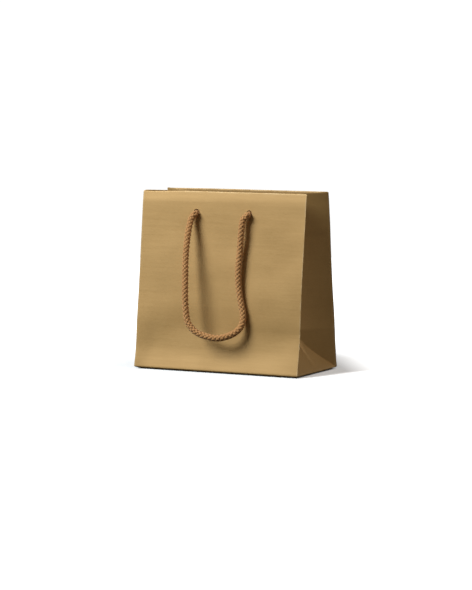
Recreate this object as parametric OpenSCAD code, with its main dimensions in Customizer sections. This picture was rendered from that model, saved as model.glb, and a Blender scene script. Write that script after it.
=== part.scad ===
// Gift bag: a folded paper bag with a tucked gusset on each side, a card in
// its base, a stiffened turn-top and two knotted rope handles.
// The origin is the middle of the footprint, +Z is up, the front faces -Y.

/* [Bag] */
// Width of the front and back panels
bag_w = 200; // [180:1:240]
// Depth of the base, front to back, which is also the unfolded gusset's width
base_d = 100; // [96:1:110]
// Height of the standing bag
bag_h = 196; // [190:1:230]
// Depth at the horizontal crease
crease_d = 87.2; // [84:0.2:90]
// Depth at the mouth, where the gussets are tucked in
mouth_d = 56; // [52:1:64]
// Height of the crease at which the base folds up
crease_h = 46; // [42:1:50]

/* [Paper and card] */
// Thickness of the laminated paper
paper_t = 0.5; // [0.4:0.1:0.6]
// Thickness of the stiffening card inside the turn-top
top_card_t = 0.8; // [0.6:0.1:1]
// Thickness of the loose card in the base
base_card_t = 1.5; // [1:0.1:2]
// Depth of the turn-top, from the rim down
turn_top_h = 46; // [42:1:48]
// Width of the glued tab of the side seam
seam_w = 14; // [10:1:18]
// Overlap of the two glued base flaps
flap_lap = 30; // [20:1:40]

/* [Rope handles] */
// Distance between the two holes of one handle
hole_gap = 64; // [60:1:70]
// Height of the hole centres above the base
hole_z = 173; // [171:1:175]
// Diameter of a punched hole
hole_d = 7.4; // [7:0.1:8]
// Diameter of the braided rope
rope_d = 6; // [5:0.1:6.2]
// Diameter of a knot
knot_d = 13; // [11:0.5:14]
// Length of the free rope end below a knot
tail_l = 16; // [12:1:20]
// Distance from the panel to the line that a handle swings about
swing_gap = 4.1; // [4:0.1:4.4]

/* [Hidden] */

gold = [0.69, 0.57, 0.38];
kraft = [0.72, 0.58, 0.42];
greyboard = [0.62, 0.60, 0.56];
rope_tan = [0.66, 0.46, 0.31];

fine = 48;
half_w = bag_w / 2;
half_d = base_d / 2;
rope_r = rope_d / 2;
turn_z = bag_h - turn_top_h;
// how far a gusset sheet's two faces are apart along X; it leans, so its
// thickness across the sheet is paper_t at the mouth
gusset_t = 0.9;
// rows of a gusset half below the turn-top, and within it
gusset_rows = 7;
turn_top_rows = 3;
// the rim of a gusset dips where its middle crease tilts inwards
rim_dip = 2;
// clearance that keeps separate sheets from cutting into each other
gap = 0.2;
// depth of the three sheets that a rope passes through
hem_t = 2 * paper_t + top_card_t;
// heights of the rows of a gusset half; the strip that lines it at the rim has
// the same ones, so that both sheets twist alike
turn_top_heights = [for (i = [0 : turn_top_rows]) turn_z + i * turn_top_h / turn_top_rows];
gusset_heights = concat(
    [for (i = [0 : gusset_rows - 1]) crease_h + i * (turn_z - crease_h) / gusset_rows],
    turn_top_heights
);

// Half the bag's outer depth at height z
function wall_y(z) = z < crease_h
    ? half_d + (crease_d / 2 - half_d) * z / crease_h
    : crease_d / 2 + (mouth_d / 2 - crease_d / 2) * (z - crease_h) / (bag_h - crease_h);

// How far a gusset's middle crease stands in from the side, so that each
// half of the gusset keeps its width
function tuck(z) = sqrt(half_d * half_d - wall_y(z) * wall_y(z));

// How far the gusset's middle crease has sunk at height z: it tilts inwards
function dip(z) = rim_dip * (z - crease_h) / (bag_h - crease_h);

// Two points across the right gusset's front half at height z, on its outer
// face or inset from it: the one beside the wall, depth d behind the wall's
// outer face, and the one on the middle crease
function half_row(z, d, inset) =
    let (
        edge_y = wall_y(z) - d,
        part = 1 - edge_y / (wall_y(z) - paper_t)
    )
    [[half_w - part * tuck(z) - inset, -edge_y, z - part * dip(z)],
        [half_w - tuck(z) - inset, 0, z - dip(z)]];

// ---- general solids ----

// A closed solid through rings of points, each ring with the same count
module loft(rings) {
    n = len(rings[0]);
    last = len(rings) - 1;
    points = [for (ring = rings) each ring];
    sides = [
        for (i = [0 : last - 1], j = [0 : n - 1])
            let (k = (j + 1) % n, a = i * n, b = (i + 1) * n)
            each [[a + j, a + k, b + k], [a + j, b + k, b + j]]
    ];
    bottom = [[for (j = [n - 1 : -1 : 0]) j]];
    top = [[for (j = [0 : n - 1]) last * n + j]];
    polyhedron(points, concat(sides, bottom, top));
}

// A sheet with rows of points on its outer face and the same points
// shifted by gusset_t towards the bag's middle on its inner one
module thick_sheet(rows) {
    n = len(rows[0]);
    last = len(rows) - 1;
    outer = [for (row = rows) each row];
    inner = [for (p = outer) p - [gusset_t, 0, 0]];
    m = len(outer);
    faces = [
        for (i = [0 : last - 1], j = [0 : n - 2])
            let (a = i * n + j, b = a + n)
            each [[a, a + 1, b + 1], [a, b + 1, b],
                [m + a, m + b + 1, m + a + 1], [m + a, m + b, m + b + 1]]
    ];
    ends = [
        for (j = [0 : n - 2])
            let (t = last * n + j)
            each [[j + 1, j, m + j, m + j + 1], [t, t + 1, m + t + 1, m + t]]
    ];
    sides = [
        for (i = [0 : last - 1])
            let (a = i * n, b = a + n, c = a + n - 1, d = c + n)
            each [[a, b, m + b, m + a], [d, c, m + c, m + d]]
    ];
    polyhedron(concat(outer, inner), concat(faces, ends, sides));
}

// A prism along X from an outline drawn in Y and Z, centred on the width
module along_x(outline, width) {
    translate([-width / 2, 0, 0])
        rotate([90, 0, 90])
            linear_extrude(width) polygon(outline);
}

// Outline of a sheet that follows the front wall, from depth d to d + t
// behind its outer face, between heights z0 and z1
function wall_outline(d, t, z0, z1) =
    let (heights = z0 < crease_h ? [z0, crease_h, z1] : [z0, z1])
    concat(
        [for (z = heights) [-wall_y(z) + d, z]],
        [for (i = [len(heights) - 1 : -1 : 0])
            [-wall_y(heights[i]) + d + t, heights[i]]]
    );

module at_holes() {
    for (side = [-1, 1])
        translate([side * hole_gap / 2, 0, hole_z]) children();
}

module with_holes() {
    difference() {
        children();
        at_holes()
            translate([0, -half_d, 0])
                rotate([-90, 0, 0]) cylinder(d = hole_d, h = half_d, $fn = fine);
    }
}

module back_to_front() { rotate([0, 0, 180]) children(); }
module left_to_right() { mirror([1, 0, 0]) children(); }

// ---- walls ----

module wall_panel() {
    color(gold)
        with_holes()
            along_x(wall_outline(0, paper_t, paper_t, bag_h), bag_w);
}

// One half of the right gusset above its foot, from the front wall to the
// middle crease
module gusset_half() {
    color(gold) thick_sheet([for (z = gusset_heights) half_row(z, paper_t, 0)]);
}

// Corners of the right gusset's foot on its front (-1) or rear (1) side: at
// the crease and at the base. The tip of the tuck stands between them.
function foot_edge(side) = [half_w, side * (wall_y(crease_h) - paper_t), crease_h];
function foot_corner(side) = [half_w, side * (wall_y(paper_t) - paper_t), paper_t];
foot_tip = [half_w - tuck(crease_h), 0, crease_h];

// A flat triangle of paper between three corners of its outer face
module facet(corners) {
    inner = [for (p = corners) p - [gusset_t, 0, 0]];
    faces = [[0, 2, 1], [3, 4, 5], [0, 1, 4, 3], [1, 2, 5, 4], [2, 0, 3, 5]];
    color(gold) polyhedron(concat(corners, inner), faces);
}

// The big facet of the right gusset's foot rises inwards from the base to the
// tip of the tuck
module gusset_foot() {
    facet([foot_tip, foot_corner(-1), foot_corner(1)]);
}

// The small facet that fills the corner between the foot and the front wall
module foot_pleat() {
    facet([foot_tip, foot_edge(-1), foot_corner(-1)]);
}

// Strip glued inside the back panel, along the left corner
module side_seam_tab() {
    seam_top = turn_z - gap;
    seam_bottom = 3 * paper_t + base_card_t + 1;
    seam_x = half_w - 2;
    color(kraft)
        back_to_front()
            translate([seam_x - seam_w / 2, 0, 0])
                along_x(wall_outline(paper_t, paper_t, seam_bottom, seam_top), seam_w);
}

// ---- rim ----

// The card is shut between the panel and the turn-top
module top_card() {
    width = bag_w - 10;
    color(greyboard)
        with_holes()
            along_x(wall_outline(paper_t, top_card_t, turn_z + 2, bag_h - paper_t), width);
}

// The paper folded over the card: the strip inside and the fold along the rim
module turn_top() {
    width = bag_w - 7;
    color(gold)
        with_holes()
            union() {
                along_x(
                    wall_outline(paper_t + top_card_t, paper_t, turn_z, bag_h), width);
                along_x(
                    wall_outline(paper_t, top_card_t, bag_h - paper_t, bag_h), width);
            }
}

// The same strip where it lines one half of the right gusset
module gusset_turn_top_half() {
    thick_sheet([for (z = turn_top_heights) half_row(z, hem_t + gap, gusset_t + 2 * gap)]);
}

module gusset_turn_top() {
    color(gold)
        union() {
            gusset_turn_top_half();
            mirror([0, 1, 0]) gusset_turn_top_half();
        }
}

// ---- base ----

// The outermost flap, which carries the bag
module base_flap_rear() {
    lap = flap_lap / 2;
    color(gold) along_x([[-lap, 0], [half_d, 0], [half_d, paper_t], [-lap, paper_t]], bag_w);
}

// The front flap steps up over the edge of the rear one and is glued to it
module base_flap_front() {
    lap = flap_lap / 2;
    step = 1;
    inner_w = bag_w - 4;
    color(gold)
        union() {
            along_x(
                [[-half_d, 0], [-lap, 0], [-lap, paper_t], [-half_d, paper_t]], bag_w);
            along_x([[-lap - step, paper_t], [lap, paper_t], [lap, 2 * paper_t],
                [-lap - step, 2 * paper_t]], inner_w);
        }
}

// Flap folded in from the right gusset, with mitred corners
module base_flap_side() {
    out_x = half_w - 2;
    in_x = half_w - 45;
    out_y = half_d - 1.2;
    in_y = half_d - 40;
    color(gold)
        translate([0, 0, 2 * paper_t])
            linear_extrude(paper_t)
                polygon([[out_x, -out_y], [out_x, out_y], [in_x, in_y], [in_x, -in_y]]);
}

module base_card() {
    size_x = bag_w - 6;
    size_y = base_d - 3;
    color(greyboard)
        translate([-size_x / 2, -size_y / 2, 3 * paper_t])
            cube([size_x, size_y, base_card_t]);
}

// ---- ropes ----

// The right-hand knot of the front handle: the rope comes in through the
// hole, is knotted against the turn-top and ends in a short tail
module knot() {
    outer_y = -wall_y(hole_z) - gap - 0.3;
    face_y = -wall_y(hole_z) + hem_t + gap + 0.2;
    knot_y = face_y + knot_d / 2 - 1;
    color(rope_tan)
        translate([hole_gap / 2, 0, hole_z])
            union() {
                translate([0, outer_y, 0])
                    rotate([-90, 0, 0]) cylinder(r = rope_r, h = knot_y - outer_y, $fn = fine);
                difference() {
                    translate([0, knot_y, 0]) sphere(d = knot_d, $fn = fine);
                    translate([-knot_d, face_y - knot_d, -knot_d])
                        cube([2 * knot_d, knot_d, 2 * knot_d]);
                }
                translate([0, knot_y, -knot_d / 2 - tail_l])
                    cylinder(r = rope_r, h = knot_d / 2 + tail_l, $fn = fine);
            }
}

// Middle line of the hanging front handle, from the left hole to the right
// one. It stands off the panel on the left and lies close to it on the right.
swing_y = wall_y(hole_z) + swing_gap;
swing_z = hole_z - 1;
route = [
    [-hole_gap / 2, -swing_y, swing_z],
    [-35, -38, 165], [-35, -45, 150], [-34, -52, 127], [-32, -57, 105],
    [-30, -61, 84], [-28, -63, 68], [-25, -64, 56], [-17, -64, 47],
    [-5, -63, 42], [10, -61, 40], [24, -56, 44], [32, -50, 52],
    [33, -46, 64], [29, -44, 80], [26, -43, 95], [25, -42, 112],
    [26, -40, 133], [27, -39, 153], [28, -37, 166],
    [hole_gap / 2, -swing_y, swing_z]
];
rope_sides = 10;
rings_per_span = 3;

function clamp_index(i) = max(0, min(len(route) - 1, i));
function route_point(i) = route[clamp_index(i)];

// Point on the smooth curve through the route, u = 0 at its first point
function on_route(u) =
    let (
        i = min(floor(u), len(route) - 2),
        t = u - i,
        a = route_point(i - 1), b = route_point(i),
        c = route_point(i + 1), d = route_point(i + 2)
    )
    0.5 * (2 * b + (c - a) * t + (2 * a - 5 * b + 4 * c - d) * t * t
        + (3 * b - 3 * c + d - a) * t * t * t);

function unit(v) = v / norm(v);

// Ring of points around the curve, square to it. The route never runs along
// Y, so Y gives the ring a steady start.
function rope_ring(u) =
    let (
        step = 0.05,
        along = unit(on_route(u + step) - on_route(u - step)),
        across = unit(cross(along, [0, 1, 0])),
        out = cross(along, across)
    )
    [for (j = [0 : rope_sides - 1])
        let (angle = 360 * j / rope_sides)
        on_route(u) + rope_r * (cos(angle) * across + sin(angle) * out)];

module handle_rope() {
    spans = len(route) - 1;
    rings = [for (i = [0 : spans * rings_per_span]) rope_ring(i / rings_per_span)];
    color(rope_tan) loft(rings);
}

// ---- assembly ----

wall_panel();  // front_panel
back_to_front() wall_panel();  // back_panel
left_to_right() gusset_half();  // left_gusset_front_half
back_to_front() gusset_half();  // left_gusset_rear_half
left_to_right() gusset_foot();  // left_gusset_foot
left_to_right() foot_pleat();  // left_foot_front_pleat
back_to_front() foot_pleat();  // left_foot_rear_pleat
gusset_half();  // right_gusset_front_half
mirror([0, 1, 0]) gusset_half();  // right_gusset_rear_half
gusset_foot();  // right_gusset_foot
foot_pleat();  // right_foot_front_pleat
mirror([0, 1, 0]) foot_pleat();  // right_foot_rear_pleat
side_seam_tab();
turn_top();  // front_turn_top
back_to_front() turn_top();  // back_turn_top
left_to_right() gusset_turn_top();  // left_gusset_turn_top
gusset_turn_top();  // right_gusset_turn_top
top_card();  // front_top_card
back_to_front() top_card();  // back_top_card
base_flap_front();
base_flap_rear();
left_to_right() base_flap_side();  // base_flap_left
base_flap_side();  // base_flap_right
base_card();
left_to_right() knot();  // front_left_knot
knot();  // front_right_knot
back_to_front() knot();  // back_left_knot
mirror([0, 1, 0]) knot();  // back_right_knot
handle_rope();  // front_handle_rope
back_to_front() handle_rope();  // back_handle_rope
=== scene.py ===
import math

import bmesh
import bpy
import numpy as np
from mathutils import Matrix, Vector, noise


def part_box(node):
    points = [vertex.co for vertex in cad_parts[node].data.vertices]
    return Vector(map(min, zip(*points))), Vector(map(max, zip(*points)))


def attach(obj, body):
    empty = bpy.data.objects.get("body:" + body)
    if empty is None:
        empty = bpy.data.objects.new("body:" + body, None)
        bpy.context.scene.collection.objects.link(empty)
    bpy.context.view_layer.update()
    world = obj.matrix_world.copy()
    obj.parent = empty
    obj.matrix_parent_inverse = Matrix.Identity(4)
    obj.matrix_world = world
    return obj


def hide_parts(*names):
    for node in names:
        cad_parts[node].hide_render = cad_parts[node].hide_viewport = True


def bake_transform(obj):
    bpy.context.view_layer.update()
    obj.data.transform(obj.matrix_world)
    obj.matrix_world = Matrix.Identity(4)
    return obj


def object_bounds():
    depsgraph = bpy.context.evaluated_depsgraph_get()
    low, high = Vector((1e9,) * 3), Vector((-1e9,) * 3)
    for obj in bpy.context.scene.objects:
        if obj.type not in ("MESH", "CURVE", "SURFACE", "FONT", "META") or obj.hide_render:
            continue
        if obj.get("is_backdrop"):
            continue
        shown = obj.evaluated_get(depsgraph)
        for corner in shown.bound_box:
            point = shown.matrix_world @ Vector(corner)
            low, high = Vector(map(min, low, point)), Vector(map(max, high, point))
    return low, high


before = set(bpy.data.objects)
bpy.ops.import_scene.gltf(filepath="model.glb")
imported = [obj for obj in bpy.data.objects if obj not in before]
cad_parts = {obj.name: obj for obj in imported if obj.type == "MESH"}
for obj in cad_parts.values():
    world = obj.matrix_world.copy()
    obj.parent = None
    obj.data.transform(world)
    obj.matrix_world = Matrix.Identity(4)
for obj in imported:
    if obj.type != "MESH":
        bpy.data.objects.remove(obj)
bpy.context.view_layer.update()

# ---- dimensions, in metres ----

MM = 0.001
FRONT, BACK = -1, 1
LEFT, RIGHT = -1, 1

flap_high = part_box("base_flap_rear")[1]
panel_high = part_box("front_panel")[1]
turn_low, turn_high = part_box("front_turn_top")
foot_low, foot_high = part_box("right_gusset_foot")
knot_low, knot_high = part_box("front_right_knot")
card_low, card_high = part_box("base_card")
tab_low, tab_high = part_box("side_seam_tab")
top_card_low, top_card_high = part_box("front_top_card")

PAPER = flap_high.z
HALF_W = panel_high.x
HALF_D = flap_high.y
BAG_H = panel_high.z
MOUTH_HALF = PAPER - panel_high.y
HEM = MOUTH_HALF + turn_high.y
TURN_Z = turn_low.z
CREASE_H = foot_high.z
GUSSET_LEAN = 0.9 * MM  # a gusset sheet's thickness along X
TUCK_AT_CREASE = HALF_W - foot_low.x - GUSSET_LEAN
CREASE_HALF = math.sqrt(HALF_D**2 - TUCK_AT_CREASE**2)
KNOT_R = (knot_high.x - knot_low.x) / 2
HOLE_X = (knot_low.x + knot_high.x) / 2
HOLE_Z = knot_high.z - KNOT_R
HOLE_R = 3.7 * MM
GUSSET_HEM = 2.2 * MM  # the gusset and the strip that lines it, along X
SEAM_TAB_DEPTH = 2 * PAPER
LAP = -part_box("base_flap_rear")[0].y  # of the base flaps, past the middle

# Middle line of the front handle, the same points as in the CAD source. The
# back handle's is turned half way round.
ROUTE = [
    (-0.032, -0.03449, 0.172),
    (-0.035, -0.038, 0.165), (-0.035, -0.045, 0.150), (-0.034, -0.052, 0.127),
    (-0.032, -0.057, 0.105), (-0.030, -0.061, 0.084), (-0.028, -0.063, 0.068),
    (-0.025, -0.064, 0.056), (-0.017, -0.064, 0.047), (-0.005, -0.063, 0.042),
    (0.010, -0.061, 0.040), (0.024, -0.056, 0.044), (0.032, -0.050, 0.052),
    (0.033, -0.046, 0.064), (0.029, -0.044, 0.080), (0.026, -0.043, 0.095),
    (0.025, -0.042, 0.112), (0.026, -0.040, 0.133), (0.027, -0.039, 0.153),
    (0.028, -0.037, 0.166),
    (0.032, -0.03449, 0.172),
]

# ---- camera and light ----

CAMERA_YAW = math.radians(27.26)
CAMERA_PITCH = math.radians(5.52)
CAMERA_DISTANCE = 2.835
CAMERA_AIM = Vector((0.0007, 0, 0.0812))
CAMERA_LENS = 157.5  # millimetres, on a 36 mm sensor

KEY_TRAVEL = Vector((0.8, 1, -0.97)).normalized()
KEY_DISTANCE = 2.4
KEY_SIZE = 1.3
KEY_COLOUR = (0.95, 1.0, 1.02)
KEY_POWER = 64.5
FILL_TRAVEL = Vector((-1, 0, -1)).normalized()
FILL_DISTANCE = 2.6
FILL_SIZE = 2.0
FILL_COLOUR = (1.0, 0.92, 0.86)
FILL_POWER = 16.6
SKY_COLOUR = (1.0, 0.94, 0.84, 1)
SKY_LIGHT = 0.16
GROUND_LIGHT = 0.03  # from below the horizon
HORIZON = 0.1  # half the height of the soft step between the two
BACKDROP_WHITE = 1.05


def make_camera():
    """The photo's view."""
    back = Vector((
        math.sin(CAMERA_YAW) * math.cos(CAMERA_PITCH),
        -math.cos(CAMERA_YAW) * math.cos(CAMERA_PITCH),
        math.sin(CAMERA_PITCH),
    ))
    data = bpy.data.cameras.new("camera")
    data.lens = CAMERA_LENS
    data.sensor_width = 36
    data.clip_start, data.clip_end = 0.1, 100
    camera = bpy.data.objects.new("camera", data)
    camera.location = CAMERA_AIM + back * CAMERA_DISTANCE
    camera.rotation_euler = (-back).to_track_quat("-Z", "Y").to_euler()
    bpy.context.scene.collection.objects.link(camera)
    bpy.context.scene.camera = camera


def area_light(name, travel, distance, size, power, colour):
    """A round lamp whose light travels to the middle of the bag."""
    data = bpy.data.lights.new(name, "AREA")
    data.shape, data.size, data.energy, data.color = "DISK", size, power, colour
    lamp = bpy.data.objects.new(name, data)
    lamp.location = Vector((0, 0, BAG_H / 2)) - travel * distance
    lamp.rotation_euler = travel.to_track_quat("-Z", "Y").to_euler()
    bpy.context.scene.collection.objects.link(lamp)


def make_world():
    """A sky that lights softly from above and is seen as plain white."""
    world = bpy.data.worlds.new("world")
    world.use_nodes = True
    nodes, links = world.node_tree.nodes, world.node_tree.links
    nodes.clear()
    path = nodes.new("ShaderNodeLightPath")
    sky = nodes.new("ShaderNodeBackground")
    sky.inputs["Color"].default_value = SKY_COLOUR
    split = nodes.new("ShaderNodeSeparateXYZ")
    links.new(nodes.new("ShaderNodeTexCoord").outputs["Generated"], split.inputs[0])
    strength = nodes.new("ShaderNodeMapRange")
    steps_up = {"From Min": -HORIZON, "From Max": HORIZON,
                "To Min": GROUND_LIGHT, "To Max": SKY_LIGHT}
    for key, value in steps_up.items():
        strength.inputs[key].default_value = value
    links.new(split.outputs["Z"], strength.inputs[0])
    links.new(strength.outputs[0], sky.inputs["Strength"])
    seen = nodes.new("ShaderNodeBackground")
    seen.inputs["Color"].default_value = (1, 1, 1, 1)
    seen.inputs["Strength"].default_value = BACKDROP_WHITE
    mix = nodes.new("ShaderNodeMixShader")
    out = nodes.new("ShaderNodeOutputWorld")
    links.new(path.outputs["Is Camera Ray"], mix.inputs["Fac"])
    links.new(sky.outputs[0], mix.inputs[1])
    links.new(seen.outputs[0], mix.inputs[2])
    links.new(mix.outputs[0], out.inputs["Surface"])
    bpy.context.scene.world = world


# ---- materials ----


class Look:
    """A Principled material and short ways to add nodes to it."""

    def __init__(self, name, **sockets):
        """Underscores in a socket's name stand for its spaces."""
        self.material = bpy.data.materials.new(name)
        self.material.use_nodes = True
        self.tree = self.material.node_tree
        self.shader = self.tree.nodes["Principled BSDF"]
        for socket, value in sockets.items():
            self.shader.inputs[socket.replace("_", " ")].default_value = value

    def node(self, kind, inputs=None, **settings):
        """A node whose inputs, by name or number, are linked or set."""
        made = self.tree.nodes.new("ShaderNode" + kind)
        for key, value in settings.items():
            setattr(made, key, value)
        for key, value in (inputs or {}).items():
            if isinstance(value, bpy.types.NodeSocket):
                self.tree.links.new(value, made.inputs[key])
            else:
                made.inputs[key].default_value = value
        return made

    def place(self, scale=(1, 1, 1)):
        """The point on the object in metres, scaled."""
        at = self.node("TexCoord").outputs["Object"]
        return self.node("Mapping", {"Vector": at, "Scale": scale}).outputs["Vector"]

    def noise(self, vector, scale, detail=3, rough=0.5):
        inputs = {"Vector": vector, "Scale": scale, "Detail": detail, "Roughness": rough}
        return self.node("TexNoise", inputs).outputs["Fac"]

    def math(self, operation, first, second=0.0):
        return self.node("Math", {0: first, 1: second}, operation=operation).outputs[0]

    def vector_math(self, operation, first, second=(0, 0, 0), output="Vector"):
        made = self.node("VectorMath", {0: first, 1: second}, operation=operation)
        return made.outputs[output]

    def attribute(self, name):
        return self.node("Attribute", attribute_name=name).outputs["Fac"]

    def spread(self, value, low, high, low_in=0.3, high_in=0.7):
        """value from low_in..high_in to low..high."""
        inputs = {0: value, 1: low_in, 2: high_in, 3: low, 4: high}
        return self.node("MapRange", inputs).outputs["Result"]

    def mix(self, factor, first, second):
        """The colour at factor between two, by the Mix node's colour sockets."""
        made = self.node("Mix", {0: factor, 6: first, 7: second}, data_type="RGBA")
        return made.outputs[2]

    def drive(self, socket, value):
        self.tree.links.new(value, self.shader.inputs[socket])

    def bump(self, *layers):
        """Stacks bumps, each (height, strength, distance in metres)."""
        normal = None
        for height, strength, distance in layers:
            inputs = {"Height": height, "Strength": strength, "Distance": distance}
            if normal is not None:
                inputs["Normal"] = normal
            normal = self.node("Bump", inputs).outputs["Normal"]
        self.drive("Normal", normal)


def gold_paper():
    """Satin paper, printed in an even gold, painted paler along its folds, partly as rubbing
    and partly as a painted highlight.
    """
    look = Look("gold_paper", Metallic=0.3)
    broad = look.noise(look.place(), 22, 4, 0.55)
    grain = look.noise(look.place((240, 240, 900)), 1, 4, 0.6)
    streak = look.noise(look.place((11, 11, 170)), 1, 3, 0.55)
    speck = look.noise(look.place(), 2600, 2, 0.5)
    gold, deep = (0.50, 0.305, 0.108, 1), (0.455, 0.27, 0.090, 1)
    light, rubbed_and_highlit_gold = (0.56, 0.36, 0.145, 1), (0.68, 0.50, 0.27, 1)
    colour = look.mix(look.spread(broad, 0, 1), deep, gold)
    colour = look.mix(look.spread(grain, 0, 0.35), colour, light)
    colour = look.mix(look.spread(streak, 0.22, 0), colour, deep)
    # paler folds: partly rubbing, partly a painted highlight along the fold ridges
    colour = look.mix(look.attribute("rubbed_and_highlit"), colour, rubbed_and_highlit_gold)
    look.drive("Base Color", colour)
    look.drive("Roughness", look.spread(grain, 0.45, 0.56))
    look.bump((broad, 0.25, 0.6 * MM), (streak, 0.35, 0.3 * MM),
              (grain, 0.3, 0.05 * MM), (speck, 0.25, 0.02 * MM))
    return look.material


def kraft_paper():
    """The bare reverse side of the paper, with short fibres."""
    look = Look("kraft_inside", Specular_IOR_Level=0.25)
    fibre = look.noise(look.place((500, 500, 1500)), 1, 5, 0.7)
    fleck = look.noise(look.place(), 700, 2, 0.5)
    broad = look.noise(look.place(), 30, 3, 0.5)
    brown, tan = (0.42, 0.26, 0.13, 1), (0.50, 0.32, 0.165, 1)
    dark, pale = (0.22, 0.12, 0.06, 1), (0.58, 0.41, 0.24, 1)
    colour = look.mix(look.spread(broad, 0, 1), brown, tan)
    colour = look.mix(look.spread(fleck, 0, 0.5, 0.62, 0.8), colour, dark)
    colour = look.mix(look.spread(fibre, 0, 0.4), colour, pale)
    look.drive("Base Color", colour)
    look.drive("Roughness", look.spread(fibre, 0.78, 0.92))
    look.bump((fibre, 0.4, 0.08 * MM), (broad, 0.2, 0.5 * MM))
    return look.material


def greyboard():
    """Recycled board with pale and dark fibres pressed into it."""
    look = Look("greyboard", Specular_IOR_Level=0.2)
    pulp = look.noise(look.place(), 260, 6, 0.65)
    fleck = look.noise(look.place((1400, 500, 900)), 1, 3, 0.6)
    grey, light = (0.27, 0.25, 0.22, 1), (0.39, 0.37, 0.33, 1)
    dark, pale = (0.12, 0.11, 0.10, 1), (0.52, 0.50, 0.45, 1)
    colour = look.mix(look.spread(pulp, 0, 1), grey, light)
    colour = look.mix(look.spread(fleck, 0, 0.7, 0.6, 0.75), colour, pale)
    colour = look.mix(look.spread(fleck, 0.6, 0, 0.25, 0.38), colour, dark)
    look.drive("Base Color", colour)
    look.drive("Roughness", look.spread(pulp, 0.85, 0.97))
    look.bump((pulp, 0.5, 0.12 * MM), (fleck, 0.3, 0.05 * MM))
    return look.material


def rope_yarn():
    """Soft spun yarn: fine fibres wind round each strand, by the attributes
    that braid() writes, and painted shade darkens the gaps between strands
    and the core."""
    look = Look("tan_rope", Specular_IOR_Level=0.3, Sheen_Weight=0.25, Sheen_Roughness=0.4)
    along, around = look.attribute("along"), look.attribute("around")
    twist = look.node("CombineXYZ", {"X": along, "Y": around}).outputs[0]
    stretched = look.node("Mapping", {"Vector": twist, "Scale": (1500, 14, 1)})
    fibre = look.noise(stretched.outputs["Vector"], 1, 4, 0.6)
    wind = look.math("ADD", look.math("MULTIPLY", along, 5200.0),
                     look.math("MULTIPLY", around, math.tau * 2))
    ply = look.math("SINE", wind)
    broad = look.noise(look.place(), 90, 3, 0.5)
    brown, tan = (0.445, 0.21, 0.07, 1), (0.515, 0.253, 0.09, 1)
    # gap is the colour of the painted shade between strands and on the core
    gap, fluff = (0.15, 0.06, 0.018, 1), (0.60, 0.36, 0.155, 1)
    colour = look.mix(look.spread(broad, 0, 1), brown, tan)
    colour = look.mix(look.spread(fibre, 0, 0.45), colour, fluff)
    # painted shade: the lower a point lies in the braid (depth), the nearer its colour is to
    # gap
    colour = look.mix(look.spread(look.attribute("depth"), 0.6, 0, 0.15, 0.8), colour, gap)
    look.drive("Base Color", colour)
    look.drive("Roughness", look.spread(fibre, 0.72, 0.9))
    look.bump((look.spread(ply, 0, 1, -1, 1), 0.35, 0.12 * MM), (fibre, 0.4, 0.1 * MM))
    return look.material


def floor_with_painted_glow():
    """The floor glows with painted light: pale near the bag and rising to
    plain white further off, soonest on the side away from the light, so that
    the bag's shadow fades out in a painted falloff, like a lit sweep.
    Distances are in metres."""
    look = Look("floor", Roughness=0.9, Base_Color=(0.85, 0.88, 0.92, 1),
                Emission_Color=(1, 1, 1, 1), Specular_IOR_Level=0.0)
    place = look.place()
    away = look.vector_math("LENGTH", place, output="Value")
    # painted light: the floor's glow, growing with distance from the bag
    white = look.spread(away, 0.24, 1.0, 0.13, 0.32)
    for direction, start, stop in (((1, -0.28, 0), 0.108, 0.128), ((1, 0.7, 0), 0.125, 0.195)):
        past = look.vector_math("DOT_PRODUCT", place, direction, "Value")
        white = look.math("MAXIMUM", white, look.spread(past, 0.0, 1.0, start, stop))
    # no painted glow beneath the bag, so it stays dark where its lifted edges show the floor
    foot = look.vector_math("MULTIPLY", place, (1 / HALF_W, 1 / HALF_D, 0))
    sides = look.node("SeparateXYZ", {0: look.vector_math("ABSOLUTE", foot)}).outputs
    outside = look.spread(look.math("MAXIMUM", sides[0], sides[1]), 0, 1, 0.98, 1.0)
    look.drive("Emission Strength", look.math("MULTIPLY", white, outside))
    return look.material


# ---- meshes ----


SMOOTH_ANGLE = 40  # degrees, a sharper bend shows as an edge


def mesh_object(name, points, faces, materials, indices=None, smooth_angle=SMOOTH_ANGLE):
    """An object with its faces turned outwards. indices gives each face's
    material."""
    mesh = bpy.data.meshes.new(name)
    mesh.from_pydata([tuple(p) for p in points], [], [tuple(f) for f in faces])
    for material in materials:
        mesh.materials.append(material)
    if indices is not None:
        mesh.polygons.foreach_set("material_index", indices)
    made = bmesh.new()
    made.from_mesh(mesh)
    bmesh.ops.recalc_face_normals(made, faces=made.faces)
    if made.calc_volume(signed=True) < 0:
        bmesh.ops.reverse_faces(made, faces=made.faces)
    made.to_mesh(mesh)
    made.free()
    shade(mesh, smooth_angle)
    return linked_object(name, mesh)


def linked_object(name, mesh):
    obj = bpy.data.objects.new(name, mesh)
    bpy.context.scene.collection.objects.link(obj)
    return obj


def shade(mesh, smooth_angle=SMOOTH_ANGLE):
    mesh.polygons.foreach_set("use_smooth", [True] * len(mesh.polygons))
    mesh.set_sharp_from_angle(angle=math.radians(smooth_angle))
    mesh.update()


def float_attribute(obj, name, values):
    attribute = obj.data.attributes.new(name, "FLOAT", "POINT")
    attribute.data.foreach_set("value", np.asarray(values, np.float32))


def coordinates(obj):
    co = np.zeros(len(obj.data.vertices) * 3, np.float32)
    obj.data.vertices.foreach_get("co", co)
    return co.reshape(-1, 3).astype(float)


def apply_modifiers(obj):
    """Replaces the object's mesh by what its modifiers make of it."""
    bpy.context.view_layer.update()
    graph = bpy.context.evaluated_depsgraph_get()
    mesh = bpy.data.meshes.new_from_object(obj.evaluated_get(graph))
    obj.modifiers.clear()
    old, obj.data = obj.data, mesh
    bpy.data.meshes.remove(old)


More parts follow.
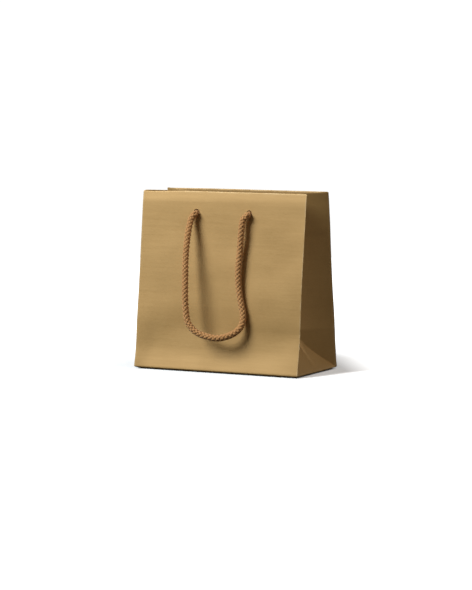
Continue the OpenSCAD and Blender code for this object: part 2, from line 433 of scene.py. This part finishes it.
def bell(value, middle, width):
    """1 at middle, falling off smoothly over about width to each side."""
    return np.exp(-(((value - middle) / width) ** 2))


def ease(value, low, high):
    """0 up to low, 1 from high, smooth between."""
    t = np.clip((value - low) / (high - low), 0, 1)
    return t * t * (3 - 2 * t)


# ---- the shape of the walls ----


def half_depth(z):
    """Half the bag's depth at height z, as the flat CAD walls have it."""
    below = HALF_D + (CREASE_HALF - HALF_D) * z / CREASE_H
    rise = (z - CREASE_H) / (BAG_H - CREASE_H)
    above = CREASE_HALF + (MOUTH_HALF - CREASE_HALF) * rise
    return np.where(z < CREASE_H, below, above)


def wave(x, z, length, seed):
    """A smooth wave from -1 to 1 with bumps about length across."""
    flat = np.broadcast(x, z)
    values = [noise.noise(Vector((a / length, b / length, seed))) for a, b in flat]
    return np.array(values).reshape(flat.shape)


def base_hollow(across, z):
    """From 0 to 1: the walls are pushed in above the base, and spring out again
    over the crease. The hollow lies lower towards the left edges."""
    middle = (27 + 7 * ease(across, 0.2, 0.8) - 13 * ease(-across, 0.7, 1.0)) * MM
    below = np.sin(np.pi / 2 * np.clip(z / middle, 0, 1))
    return np.where(z < middle, below, 1 - ease(z, middle, middle + 52 * MM))


FRONT_SEED, BACK_SEED = 3.7, 11.3  # so that their ripples differ


def relief(x, z, side):
    """How far a wall stands out from the flat CAD wall at x, z. The parts are
    summed in millimetres."""
    across = x / HALF_W * (-side)  # -1 at the front's left and the back's right
    to_right = ease(across, 0.15, 1.0)
    to_left = ease(-across, 0.35, 1.0)
    depth = 1.65 + 0.35 * to_right - 0.4 * ease(across, 0.8, 1.0)
    depth = depth - 1.65 * ease(-across, 0.75, 1.0)  # none at the left edge
    spring_right = 0.55 * bell(z, 56 * MM, 12 * MM) + 0.4 * bell(z, 90 * MM, 30 * MM)
    spring_left = 1.3 * bell(z, 54 * MM, 25 * MM)
    mouth = -0.6 * ease(z, 145 * MM, 175 * MM)
    edges = to_right * (spring_right + mouth) + to_left * spring_left
    seed = FRONT_SEED if side == FRONT else BACK_SEED
    calm = ease(z, 0, 25 * MM) * (1 - 0.5 * ease(z, 150 * MM, 190 * MM))
    ripple = 0.75 * wave(x, z, 62 * MM, seed) + 0.32 * wave(x, z, 27 * MM, seed + 5)
    rim = -0.9 * ease(z, 180 * MM, 200 * MM) ** 1.5
    hollow = -0.6 * bell(z, 143 * MM, 24 * MM) * (1 - 0.7 * across**2)
    return (edges - depth * base_hollow(across, z) + calm * ripple + rim + hollow) * MM


def wall_y(x, z, side, depth=0.0):
    """Y of a wall's surface, or of a surface at some depth behind it."""
    return side * (half_depth(z) + relief(x, z, side) - depth)


def rim_sag(x, y, z):
    """The left end of each wall's rim hangs a little below the gusset's, the
    front wall's more than the back one's."""
    to_left = -x / HALF_W
    hang = ease(to_left, 0.4, 0.95) * (1 - 0.8 * ease(to_left, 0.965, 1.0))
    most = (1.4 if y < 0 else 0.4) * MM
    return float(most * hang * ease(z, 100 * MM, BAG_H))


# ---- the shape of the gussets ----

FOOT_TIP_H = 41 * MM  # where the foot's diagonal creases meet
FOOT_BOW = 1.27  # the diagonals sag below a straight line
VALLEY = 1.5 * MM  # depth of the dent up the middle of the foot
VALLEY_HALF = 4.5 * MM
FOLD_R = 0.8 * MM
LEFT_RIM_DIP, RIGHT_RIM_DIP = 1.2 * MM, 2 * MM  # of the middle crease at the rim

# points across each part of a row
HALF_GUSSET_COLUMNS = 24
FOOT_COLUMNS = 20
PANEL_COLUMNS = 84
CORNER_COLUMNS = 5


def tuck(z):
    """How far a gusset's middle stands in from the side of the bag. Each half
    of the gusset stays flat down to the foot's diagonal creases."""
    if z < CREASE_H:
        return TUCK_AT_CREASE * (1 - foot_half(z) / HALF_D)
    return math.sqrt(HALF_D**2 - float(half_depth(z)) ** 2)


def foot_half(z):
    """Half the width of the foot's big facet at height z."""
    if z >= FOOT_TIP_H:
        return FOLD_R * float(ease(CREASE_H - z, 0, CREASE_H - FOOT_TIP_H))
    return max(FOLD_R, HALF_D * (1 - z / FOOT_TIP_H) ** FOOT_BOW)


def gusset_bow(part, z, end):
    """Each half of a gusset curves out a little between its creases, and the
    edge of the strip that lines it shows through."""
    lift = 0.7 if end == BACK else 0.5
    bow = lift * math.sin(math.pi * part) * float(ease(z, 30 * MM, 90 * MM))
    lined = 0.35 * float(ease(z, TURN_Z - 1 * MM, TURN_Z + 1.5 * MM)) * min(1, 12 * part)
    return (bow + lined) * MM


def gusset_half_points(z, depth, lean, side, end):
    """Points (x, y, part) across half of a gusset at height z, from the
    corner beside a wall to the crease at the foot's facet. side is LEFT or
    RIGHT, end the wall that it starts from, and part grows from 0 to 1."""
    corner_y = float(wall_y(side * HALF_W, z, end))
    deep = tuck(z)
    crease_y = min(foot_half(z), abs(corner_y) - 0.05 * MM)
    inner_y = abs(corner_y) - depth
    first = min(1.0, (abs(corner_y) - inner_y) / (abs(corner_y) - crease_y))
    points = []
    for i in range(HALF_GUSSET_COLUMNS + 1):
        part = first + (1 - first) * i / HALF_GUSSET_COLUMNS
        y = abs(corner_y) + (crease_y - abs(corner_y)) * part
        y = min(y, inner_y - 0.002 * MM * i)
        x = HALF_W - deep * part - lean + gusset_bow(part, z, end)
        points.append((side * x, end * y, part))
    return points


def foot_points(z, lean, side, first_y, last_y):
    """Points across the facet between the two halves, with a shallow valley
    along its middle."""
    points = []
    depth = VALLEY * float(ease(z, 0, 10 * MM)) if z < FOOT_TIP_H else 0.0
    for i in range(1, FOOT_COLUMNS):
        y = first_y + (last_y - first_y) * i / FOOT_COLUMNS
        dent = depth * max(0.0, 1 - abs(y) / VALLEY_HALF) ** 1.5
        points.append((side * (HALF_W - tuck(z) - lean - dent), y, 1.0))
    return points


def rounded_corner(before, corner, after):
    """Points round a corner, in place of the corner itself."""
    before, corner, after = (np.array(p[:2]) for p in (before, corner, after))
    to_before, to_after = before - corner, after - corner
    reach = min(FOLD_R, 0.45 * np.linalg.norm(to_before), 0.45 * np.linalg.norm(to_after))
    start = corner + to_before / np.linalg.norm(to_before) * reach
    stop = corner + to_after / np.linalg.norm(to_after) * reach
    points = []
    for i in range(CORNER_COLUMNS):
        t = i / (CORNER_COLUMNS - 1)
        point = (1 - t) ** 2 * start + 2 * t * (1 - t) * corner + t * t * stop
        points.append((point[0], point[1], 0.0))
    return points


def ring(z, depth, lean, lift):
    """One closed row of the shell: the outer face at height z, moved in by
    depth behind the walls and by lean behind the gussets, and raised."""
    row = []
    for side, end in ((RIGHT, FRONT), (LEFT, BACK)):
        near = gusset_half_points(z, depth, lean, side, end)
        far = gusset_half_points(z, depth, lean, side, -end)[::-1]
        middle = foot_points(z, lean, side, near[-1][1], far[0][1])
        start_x = gusset_half_points(z, depth, lean, -side, end)[0][0]
        stop_x = near[0][0]
        panel = []
        for i in range(1, PANEL_COLUMNS):
            x = start_x + (stop_x - start_x) * i / PANEL_COLUMNS
            panel.append((x, float(wall_y(x, z, end, depth)), 0.0))
        on_next_wall = (far[-1][0] - side * 2 * MM, far[-1][1])
        row += panel
        row += rounded_corner(panel[-1], near[0], near[3])
        row += near[1:] + middle + far[:-1]
        row += rounded_corner(far[-4], far[-1], on_next_wall)
    up = max(0.0, (z - CREASE_H) / (BAG_H - CREASE_H))
    points = []
    for x, y, part in row:
        dip = (RIGHT_RIM_DIP if x > 0 else LEFT_RIM_DIP) * up * part
        points.append((x, y, z + lift - (dip if part else rim_sag(x, y, z))))
    return points


# ---- the folded sheet ----


def steps(start, stop, spacing):
    """Values from start to stop, both included, about spacing apart."""
    count = max(1, round(abs(stop - start) / spacing))
    return [start + (stop - start) * i / count for i in range(count + 1)]


EDGE_LIFT = 1.5 * MM  # the base folds spring up off the surface
BASE_R = 1.6 * MM  # outside radius of the base folds


def fold_lift(z):
    """How far the base folds' spring raises the sheet at height z."""
    return EDGE_LIFT * (1 - float(ease(z, 2 * MM, 30 * MM)))


def shell_rows():
    """Rows (z, depth, lean, lift, material) round the folded sheet's section:
    up the outside, over the rim, down the turn-top, up its hidden face and
    down the inside. Material 0 is the printed side, 1 the bare one."""
    rows = []
    for angle in steps(90, 0, 15):
        a = math.radians(angle)
        inset = BASE_R * (1 - math.cos(a))
        rows.append((BASE_R * (1 - math.sin(a)), inset, inset, EDGE_LIFT, 0))
    heights = steps(BASE_R, 62 * MM, 1.5 * MM)[1:] + steps(62 * MM, 180 * MM, 3 * MM)[1:]
    rim_r = HEM / 2
    rim_z = BAG_H - rim_r
    heights += steps(180 * MM, rim_z, 1.2 * MM)[1:]
    rows += [(z, 0.0, 0.0, fold_lift(z), 0) for z in heights]
    for angle in steps(0, 180, 20)[1:]:
        a = math.radians(angle)
        share = (1 - math.cos(a)) / 2
        rows.append((rim_z, HEM * share, GUSSET_HEM * share, rim_r * math.sin(a), 0))
    rows += [(z, HEM, GUSSET_HEM, 0.0, 0) for z in steps(rim_z, TURN_Z, 3 * MM)[1:]]
    hidden, hidden_lean = HEM - PAPER, GUSSET_HEM - GUSSET_LEAN
    rows += [(z, hidden, hidden_lean, 0.0, 1) for z in steps(TURN_Z, rim_z, 3 * MM)]
    gap, gap_lean = hidden - PAPER, hidden_lean - GUSSET_LEAN
    for angle in steps(180, 0, 45)[1:]:
        a = math.radians(angle)
        share = (1 - math.cos(a)) / 2
        rows.append((rim_z, PAPER + gap * share, GUSSET_LEAN + gap_lean * share,
                     (rim_r - PAPER) * math.sin(a), 1))
    inside = steps(rim_z, BASE_R, 3 * MM)[1:]
    rows += [(z, PAPER, GUSSET_LEAN, fold_lift(z), 1) for z in inside]
    for angle in steps(0, 90, 30)[1:]:
        a = math.radians(angle)
        inset = BASE_R - (BASE_R - PAPER) * math.cos(a)
        rows.append((BASE_R - (BASE_R - PAPER) * math.sin(a), inset, inset, EDGE_LIFT, 1))
    return rows


CUTTER_SIDES = 48
CUTTER_ENDS = (22 * MM, 40 * MM)  # along Y, within and beyond a wall


def hole_cutter():
    """Four rods that punch the rope holes."""
    points, faces = [], []
    for end in (FRONT, BACK):
        for x in (-HOLE_X, HOLE_X):
            first = len(points)
            for y in CUTTER_ENDS:
                for i in range(CUTTER_SIDES):
                    a = math.tau * i / CUTTER_SIDES
                    points.append((x + HOLE_R * math.cos(a), end * y,
                                   HOLE_Z + HOLE_R * math.sin(a)))
            faces += tube_faces(first, len(CUTTER_ENDS), CUTTER_SIDES)
    return mesh_object("hole_cutter", points, faces, [GREYBOARD])


def punch(obj):
    """Cuts the rope holes, whose sides take the cutter's material."""
    modifier = obj.modifiers.new("holes", "BOOLEAN")
    modifier.object, modifier.operation, modifier.solver = CUTTER, "DIFFERENCE", "MANIFOLD"
    modifier.material_mode = "TRANSFER"
    apply_modifiers(obj)
    shade(obj.data)


def rubbed_and_highlit_folds(co):
    """0 to 1 where the sheet's outside folds are painted pale: partly rubbing, partly a
    painted highlight along the corner, rim and base folds.
    """
    x, y, z = np.abs(co[:, 0]), co[:, 1], co[:, 2]
    corner = bell(x, HALF_W, 1.1 * MM)
    rim = bell(z, BAG_H, 1.3 * MM) * 0.7
    base = bell(z, 0.5 * MM, 1.2 * MM) * 0.4
    patchy = [0.5 + 0.7 * noise.noise(Vector(p) * 160) for p in co]
    return np.clip(np.maximum(np.maximum(corner, rim), base) * np.array(patchy), 0, 1)


def make_shell():
    """The whole folded sheet as one closed skin, with its rope holes."""
    rows = shell_rows()
    rings = [ring(*row[:4]) for row in rows]
    columns = len(rings[0])
    points = [p for r in rings for p in r]
    faces, indices = [], []
    for i, row in enumerate(rows):
        next_i = (i + 1) % len(rows)
        below, above = i * columns, next_i * columns
        bare = 1 if row[4] or rows[next_i][4] else 0
        for j in range(columns):
            k = (j + 1) % columns
            faces.append((below + j, below + k, above + k, above + j))
            indices.append(bare)
    shell = mesh_object("folded_paper", points, faces, [GOLD, KRAFT, GREYBOARD], indices)
    punch(shell)
    # the folds' painted highlight and rubbing, as a 0 to 1 attribute
    float_attribute(shell, "rubbed_and_highlit", rubbed_and_highlit_folds(coordinates(shell)))
    return shell


def wall_sheet(name, side, x_range, z_range, depth_range, material):
    """A thin closed sheet that follows a wall between two depths behind it."""
    spacing = 4 * MM
    xs, zs = steps(*x_range, spacing), steps(*z_range, spacing)
    count = len(xs)
    points = []
    for depth in depth_range:
        for z in zs:
            for x in xs:
                y = float(wall_y(x, z, side, depth))
                points.append((x, y, z - rim_sag(x, y, z)))
    layer = count * len(zs)
    faces = []
    for i in range(len(zs) - 1):
        for j in range(count - 1):
            a = i * count + j
            faces.append((a, a + 1, a + 1 + count, a + count))
            faces.append(tuple(layer + v for v in (a, a + count, a + 1 + count, a + 1)))
    border = list(range(count))
    border += [i * count + count - 1 for i in range(1, len(zs))]
    border += [layer - 1 - j for j in range(1, count)]
    border += [i * count for i in range(len(zs) - 2, 0, -1)]
    for a, b in zip(border, border[1:] + border[:1]):
        faces.append((a, layer + a, layer + b, b))
    return mesh_object(name, points, faces, [material])


def flat_sheet(name, outline, low, thickness, material, rise):
    """A sheet with a thin bevel on its cut edges, cut into a grid so that it
    bends: rise(x, y) is how far a point is raised."""
    made = bmesh.new()
    base = made.faces.new([made.verts.new((x, y, low)) for x, y in outline])
    raised = bmesh.ops.extrude_face_region(made, geom=[base])
    top = [v for v in raised["geom"] if isinstance(v, bmesh.types.BMVert)]
    bmesh.ops.translate(made, verts=top, vec=(0, 0, thickness))
    bmesh.ops.recalc_face_normals(made, faces=made.faces)
    bmesh.ops.bevel(made, geom=made.edges[:], offset=thickness * 0.18, segments=2,
                    affect="EDGES", clamp_overlap=True)
    for normal in (Vector((1, 0, 0)), Vector((0, 1, 0))):
        for at in steps(-0.9 * HALF_W, 0.9 * HALF_W, 9 * MM):
            bmesh.ops.bisect_plane(made, geom=made.verts[:] + made.edges[:] + made.faces[:],
                                   plane_co=normal * at, plane_no=normal)
    for v in made.verts:
        v.co.z += rise(v.co.x, v.co.y)
    mesh = bpy.data.meshes.new(name)
    made.to_mesh(mesh)
    made.free()
    mesh.materials.append(material)
    shade(mesh)
    return linked_object(name, mesh)


# ---- ropes ----

STRANDS = 4  # that wind each way round the rope
BRAID_PITCH = 18 * MM
BRAID_R = 2.45 * MM  # from the rope's middle line to a strand's
WEAVE_LIFT = 0.48 * MM  # how far a strand moves out and in
STRAND_HALF_W = 1.36 * MM
STRAND_HALF_T = 0.85 * MM
STRAND_SIDES = 8
CORE_R = 1.6 * MM
CORE_SIDES = 10
RING_STEP = 0.75 * MM


def smooth_line(points, spacing):
    """The smooth curve through points, with points about spacing apart."""
    p = [Vector(q) for q in points]
    p = [p[0] * 2 - p[1]] + p + [p[-1] * 2 - p[-2]]
    fine = []
    for i in range(1, len(p) - 2):
        a, b, c, d = p[i - 1:i + 3]
        for k in range(24):
            t = k / 24
            fine.append((b * 2 + (c - a) * t + (a * 2 - b * 5 + c * 4 - d) * t * t
                         + (b * 3 - c * 3 + d - a) * t**3) / 2)
    fine.append(p[-2])
    line = np.array(fine)
    along = run_along(line)
    at = np.linspace(0, along[-1], max(2, round(along[-1] / spacing)))
    return np.stack([np.interp(at, along, line[:, k]) for k in range(3)], axis=1)


def run_along(line):
    """The distance from the line's start to each of its points."""
    lengths = np.linalg.norm(np.diff(line, axis=0), axis=1)
    return np.concatenate([[0], np.cumsum(lengths)])


def frames_along(line):
    """Tangents and two steady directions square to them, for each point."""
    tangents = np.gradient(line, axis=0)
    tangents /= np.linalg.norm(tangents, axis=1)[:, None]
    across = np.cross(tangents[0], (1.0, 0.0, 0.0))
    across /= np.linalg.norm(across)
    first = []
    for tangent in tangents:
        across = across - tangent * (across @ tangent)
        across /= np.linalg.norm(across)
        first.append(across)
    first = np.array(first)
    return tangents, first, np.cross(tangents, first)


def tube_faces(first, rings, sides):
    """Faces of a closed tube whose rings of points start at number first."""
    faces = []
    for i in range(rings - 1):
        a, b = first + i * sides, first + (i + 1) * sides
        for j in range(sides):
            k = (j + 1) % sides
            faces.append((a + j, a + k, b + k, b + j))
    faces.append(tuple(first + j for j in reversed(range(sides))))
    faces.append(tuple(first + (rings - 1) * sides + j for j in range(sides)))
    return faces


def even(run):
    return np.ones(len(run))


def snug(run):
    """A handle's rope is squeezed a little where it passes its holes."""
    from_end = np.minimum(run, run[-1] - run)
    return 1 - 0.12 * (1 - ease(from_end, 5 * MM, 10 * MM))


def braid(name, line, size=1.0, squeeze=even):
    """A braided rope along a line: strands wind both ways, each over one and
    under one of the others, round a soft core that the yarn paints dark with
    shade. Its attributes tell the yarn how far along and round a strand a
    point is, and how far out (depth 1), which the yarn turns into painted shade."""
    tangents, across, out = frames_along(line)
    run = run_along(line)
    rings = len(line)
    scale = size * squeeze(run)
    lean = math.tau * BRAID_R / BRAID_PITCH
    points, faces, along, around, depth = [], [], [], [], []
    for way in (1, -1):
        for i in range(STRANDS):
            turn = math.tau * (i / STRANDS + way * run / BRAID_PITCH)
            lift = way * np.cos(math.tau * run * STRANDS / BRAID_PITCH)
            radius = (BRAID_R + WEAVE_LIFT * lift) * scale
            radial = np.cos(turn)[:, None] * across + np.sin(turn)[:, None] * out
            sideways = np.cross(tangents, radial)
            strand_dir = tangents + way * lean * sideways
            strand_dir /= np.linalg.norm(strand_dir, axis=1)[:, None]
            wide = np.cross(strand_dir, radial)
            centre = line + radial * radius[:, None]
            first = len(points)
            for k in range(rings):
                for s in range(STRAND_SIDES):
                    a = math.tau * s / STRAND_SIDES
                    offset = wide[k] * math.cos(a) * STRAND_HALF_W * scale[k]
                    offset = offset + radial[k] * math.sin(a) * STRAND_HALF_T * scale[k]
                    points.append(centre[k] + offset)
                    along.append(run[k])
                    around.append(0.5 + 0.5 * math.sin(a + k * 0.7))
                    # depth feeds the yarn's painted shade: low where a strand dips under and
                    # on its inner side
                    depth.append(0.5 + 0.25 * lift[k] + 0.25 * math.sin(a))
            faces += tube_faces(first, rings, STRAND_SIDES)
    # the core, at depth 0, takes the yarn's darkest painted shade where it shows between
    # strands
    first = len(points)
    for k in range(rings):
        for s in range(CORE_SIDES):
            a = math.tau * s / CORE_SIDES
            offset = (across[k] * math.cos(a) + out[k] * math.sin(a)) * CORE_R * scale[k]
            points.append(line[k] + offset)
            along.append(run[k])
            around.append(0.5)
            depth.append(0.0)
    faces += tube_faces(first, rings, CORE_SIDES)
    rope = mesh_object(name, points, faces, [ROPE], smooth_angle=60)
    for attribute, values in (("along", along), ("around", around), ("depth", depth)):
        float_attribute(rope, attribute, values)
    return rope


def hole_passage(x):
    """The rope's run through a hole of the front wall, from the inside out. It
    hangs on the hole's lower side."""
    face = float(wall_y(x, HOLE_Z, FRONT))
    return [
        (x, face + HEM + 2 * MM, HOLE_Z),
        (x, face, HOLE_Z - 0.6 * MM),
        (x, face - 2.4 * MM, HOLE_Z - 1.2 * MM),
    ]


def handle_path():
    """The front handle's whole line, from inside the left hole to inside the
    right one."""
    bend = Vector((0, -0.6 * MM, -0.9 * MM))
    first, last = (tuple(Vector(ROUTE[i]) + bend) for i in (0, -1))
    return (hole_passage(-HOLE_X) + [first] + ROUTE[1:-1] + [last]
            + hole_passage(HOLE_X)[::-1])


# an overhand knot, in millimetres
KNOT_LOOP_R = 3.3
KNOT_LOBE = 2.1
KNOT_TWIST = 2.2
KNOT_SQUASH = 0.86
KNOT_START = 0.34  # radians of the closed knot left open at each end
KNOT_MIDDLE_Y, KNOT_MIDDLE_Z = 8.3, 2.6
KNOT_STEPS = 18
KNOT_LEAD = [(0, -1.6, 0), (0, 1.0, -0.2)]
KNOT_TAIL = [(-3.2, 9.5, -4.2), (-3.4, 11.2, -8.5), (-3.0, 11.6, -14.5), (-2.6, 11.2, -21)]
KNOT_ROPE = 0.8  # pulled tight, the rope is thinner in a knot


def knot_path():
    """An overhand knot against the inside of the front wall at the right hole,
    with its loose end hanging down. It is drawn about the hole's inner edge,
    then moved there."""
    points = list(KNOT_LEAD)
    for i in range(KNOT_STEPS + 1):
        t = KNOT_START + (math.tau - 2 * KNOT_START) * i / KNOT_STEPS
        reach = KNOT_LOOP_R + KNOT_LOBE * math.cos(3 * t)
        points.append((
            KNOT_TWIST * math.sin(3 * t),
            KNOT_MIDDLE_Y + KNOT_SQUASH * reach * math.sin(2 * t),
            KNOT_MIDDLE_Z - reach * math.cos(2 * t),
        ))
    points += KNOT_TAIL
    inner = float(wall_y(HOLE_X, HOLE_Z, FRONT, HEM))
    return [(HOLE_X + x * MM, inner + y * MM, HOLE_Z + z * MM) for x, y, z in points]


def mirrored(points, x=1, y=1):
    return [(a * x, b * y, c) for a, b, c in points]


def declare_handle(rope, end):
    """The rope runs on inside its holes. Its place is fixed into its mesh, and the CAD rope
    that it stands for is hidden.
    """
    body = "front_handle" if end == FRONT else "back_handle"
    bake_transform(rope)
    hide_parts(body + "_rope")


# ---- the base ----

FLAP_INSET = 1.1 * MM  # from the bag's outside to a flap's folded edge
FLAP_X, FLAP_Y = HALF_W - FLAP_INSET, HALF_D - FLAP_INSET
SIDE_REACH = 44 * MM


def wall_flap_outline(side):
    """A front or rear flap with mitred ends, from its fold to a straight edge
    beyond the middle."""
    width = FLAP_X - (FLAP_Y + LAP)
    outline = [(-FLAP_X, FLAP_Y), (FLAP_X, FLAP_Y), (width, -LAP), (-width, -LAP)]
    return [(x, side * y) for x, y in outline][::side]


def side_flap_outline(side):
    outline = [(FLAP_X, -FLAP_Y), (FLAP_X, FLAP_Y),
               (FLAP_X - SIDE_REACH, FLAP_Y - SIDE_REACH),
               (FLAP_X - SIDE_REACH, SIDE_REACH - FLAP_Y)]
    return [(side * x, y) for x, y in outline][::side]


def edge_rise(x, y):
    """The flaps turn up to the base folds all round."""
    from_edge = min(HALF_W - abs(x), HALF_D - abs(y))
    return EDGE_LIFT * (1 - float(ease(from_edge, FLAP_INSET, 7 * MM)))


def front_rise(x, y):
    """The front flap climbs over the rear one's edge."""
    return edge_rise(x, y) + PAPER * float(ease(y, -LAP - 3 * MM, -LAP))


def side_rise(x, y):
    """The side flaps climb over the front and the rear one."""
    return edge_rise(x, y) + 2 * PAPER * float(ease(HALF_W - abs(x), 2 * MM, 9 * MM))


def card_rise(x, y):
    """The loose card is bowed up a little along its length."""
    bow = (1 - (x / card_high.x) ** 2) * (1 - 0.3 * (y / card_high.y) ** 2)
    return 0.7 * MM + 0.5 * MM * bow


# ---- what is made ----

make_camera()
area_light("key", KEY_TRAVEL, KEY_DISTANCE, KEY_SIZE, KEY_POWER, KEY_COLOUR)
area_light("fill", FILL_TRAVEL, FILL_DISTANCE, FILL_SIZE, FILL_POWER, FILL_COLOUR)
make_world()
bpy.context.scene.view_settings.view_transform = "Standard"

GOLD, KRAFT, GREYBOARD, ROPE = gold_paper(), kraft_paper(), greyboard(), rope_yarn()

front_line = smooth_line(handle_path(), RING_STEP)
back_line = smooth_line(mirrored(handle_path(), x=-1, y=-1), RING_STEP)
declare_handle(braid("front_rope", front_line, squeeze=snug), FRONT)
declare_handle(braid("back_rope", back_line, squeeze=snug), BACK)

for end, end_name in ((FRONT, "front"), (BACK, "back")):
    for side, side_name in ((LEFT, "left"), (RIGHT, "right")):
        path = mirrored(knot_path(), x=side, y=-end)
        knot = braid(f"{end_name}_{side_name}_overhand_knot",
                     smooth_line(path, RING_STEP), KNOT_ROPE)
        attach(knot, "bag")
        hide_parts(f"{end_name}_{side_name}_knot")

CUTTER = hole_cutter()

shell = make_shell()
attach(shell, "bag")
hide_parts("front_panel", "back_panel", "front_turn_top", "back_turn_top",
            "left_gusset_turn_top", "right_gusset_turn_top",
            *[f"{side}_{part}" for side in ("left", "right") for part in (
                "gusset_front_half", "gusset_rear_half", "gusset_foot",
                "foot_front_pleat", "foot_rear_pleat")])

SLIP = 0.05 * MM  # between a card and the sheets beside it
for end, end_name in ((FRONT, "front"), (BACK, "back")):
    card = wall_sheet(f"{end_name}_stiffener", end,
                      (top_card_low.x, top_card_high.x),
                      (top_card_low.z, top_card_high.z - 1.2 * MM),
                      (PAPER + SLIP, HEM - PAPER - SLIP), GREYBOARD)
    punch(card)
    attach(card, "bag")
    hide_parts(f"{end_name}_top_card")

tab = wall_sheet("glued_seam_tab", BACK, (tab_low.x, tab_high.x), (tab_low.z, tab_high.z),
                 (PAPER + 0.03 * MM, SEAM_TAB_DEPTH), KRAFT)
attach(tab, "bag")
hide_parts("side_seam_tab")

base_flaps = {
    "rear": (wall_flap_outline(1), 0, edge_rise),
    "front": (wall_flap_outline(-1), 0, front_rise),
    "left": (side_flap_outline(LEFT), 0.02 * MM, side_rise),
    "right": (side_flap_outline(RIGHT), 0.02 * MM, side_rise),
}
for side_name, (outline, low, rise) in base_flaps.items():
    flap = flat_sheet(f"{side_name}_bottom_flap", outline, low, PAPER, GOLD, rise)
    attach(flap, "bag")
    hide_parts(f"base_flap_{side_name}")
    # the flaps get none of the folds' painted highlight or rubbing
    float_attribute(flap, "rubbed_and_highlit", [0.0] * len(flap.data.vertices))

loose_card = flat_sheet("loose_base_card",
                        [(card_low.x, card_low.y), (card_high.x, card_low.y),
                         (card_high.x, card_high.y), (card_low.x, card_high.y)],
                        card_low.z + SLIP, card_high.z - card_low.z, GREYBOARD, card_rise)
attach(loose_card, "bag")
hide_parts("base_card")

bpy.data.objects.remove(CUTTER)

FLOOR_R = 1.5
FLOOR_SIDES = 96
rim = [(FLOOR_R * math.cos(math.tau * i / FLOOR_SIDES),
        FLOOR_R * math.sin(math.tau * i / FLOOR_SIDES), 0) for i in range(FLOOR_SIDES)]
floor = mesh_object("floor", rim, [tuple(range(FLOOR_SIDES))], [floor_with_painted_glow()])
floor.visible_diffuse = floor.visible_glossy = False  # GROUND_LIGHT stands for its light
floor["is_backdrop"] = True

low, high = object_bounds()
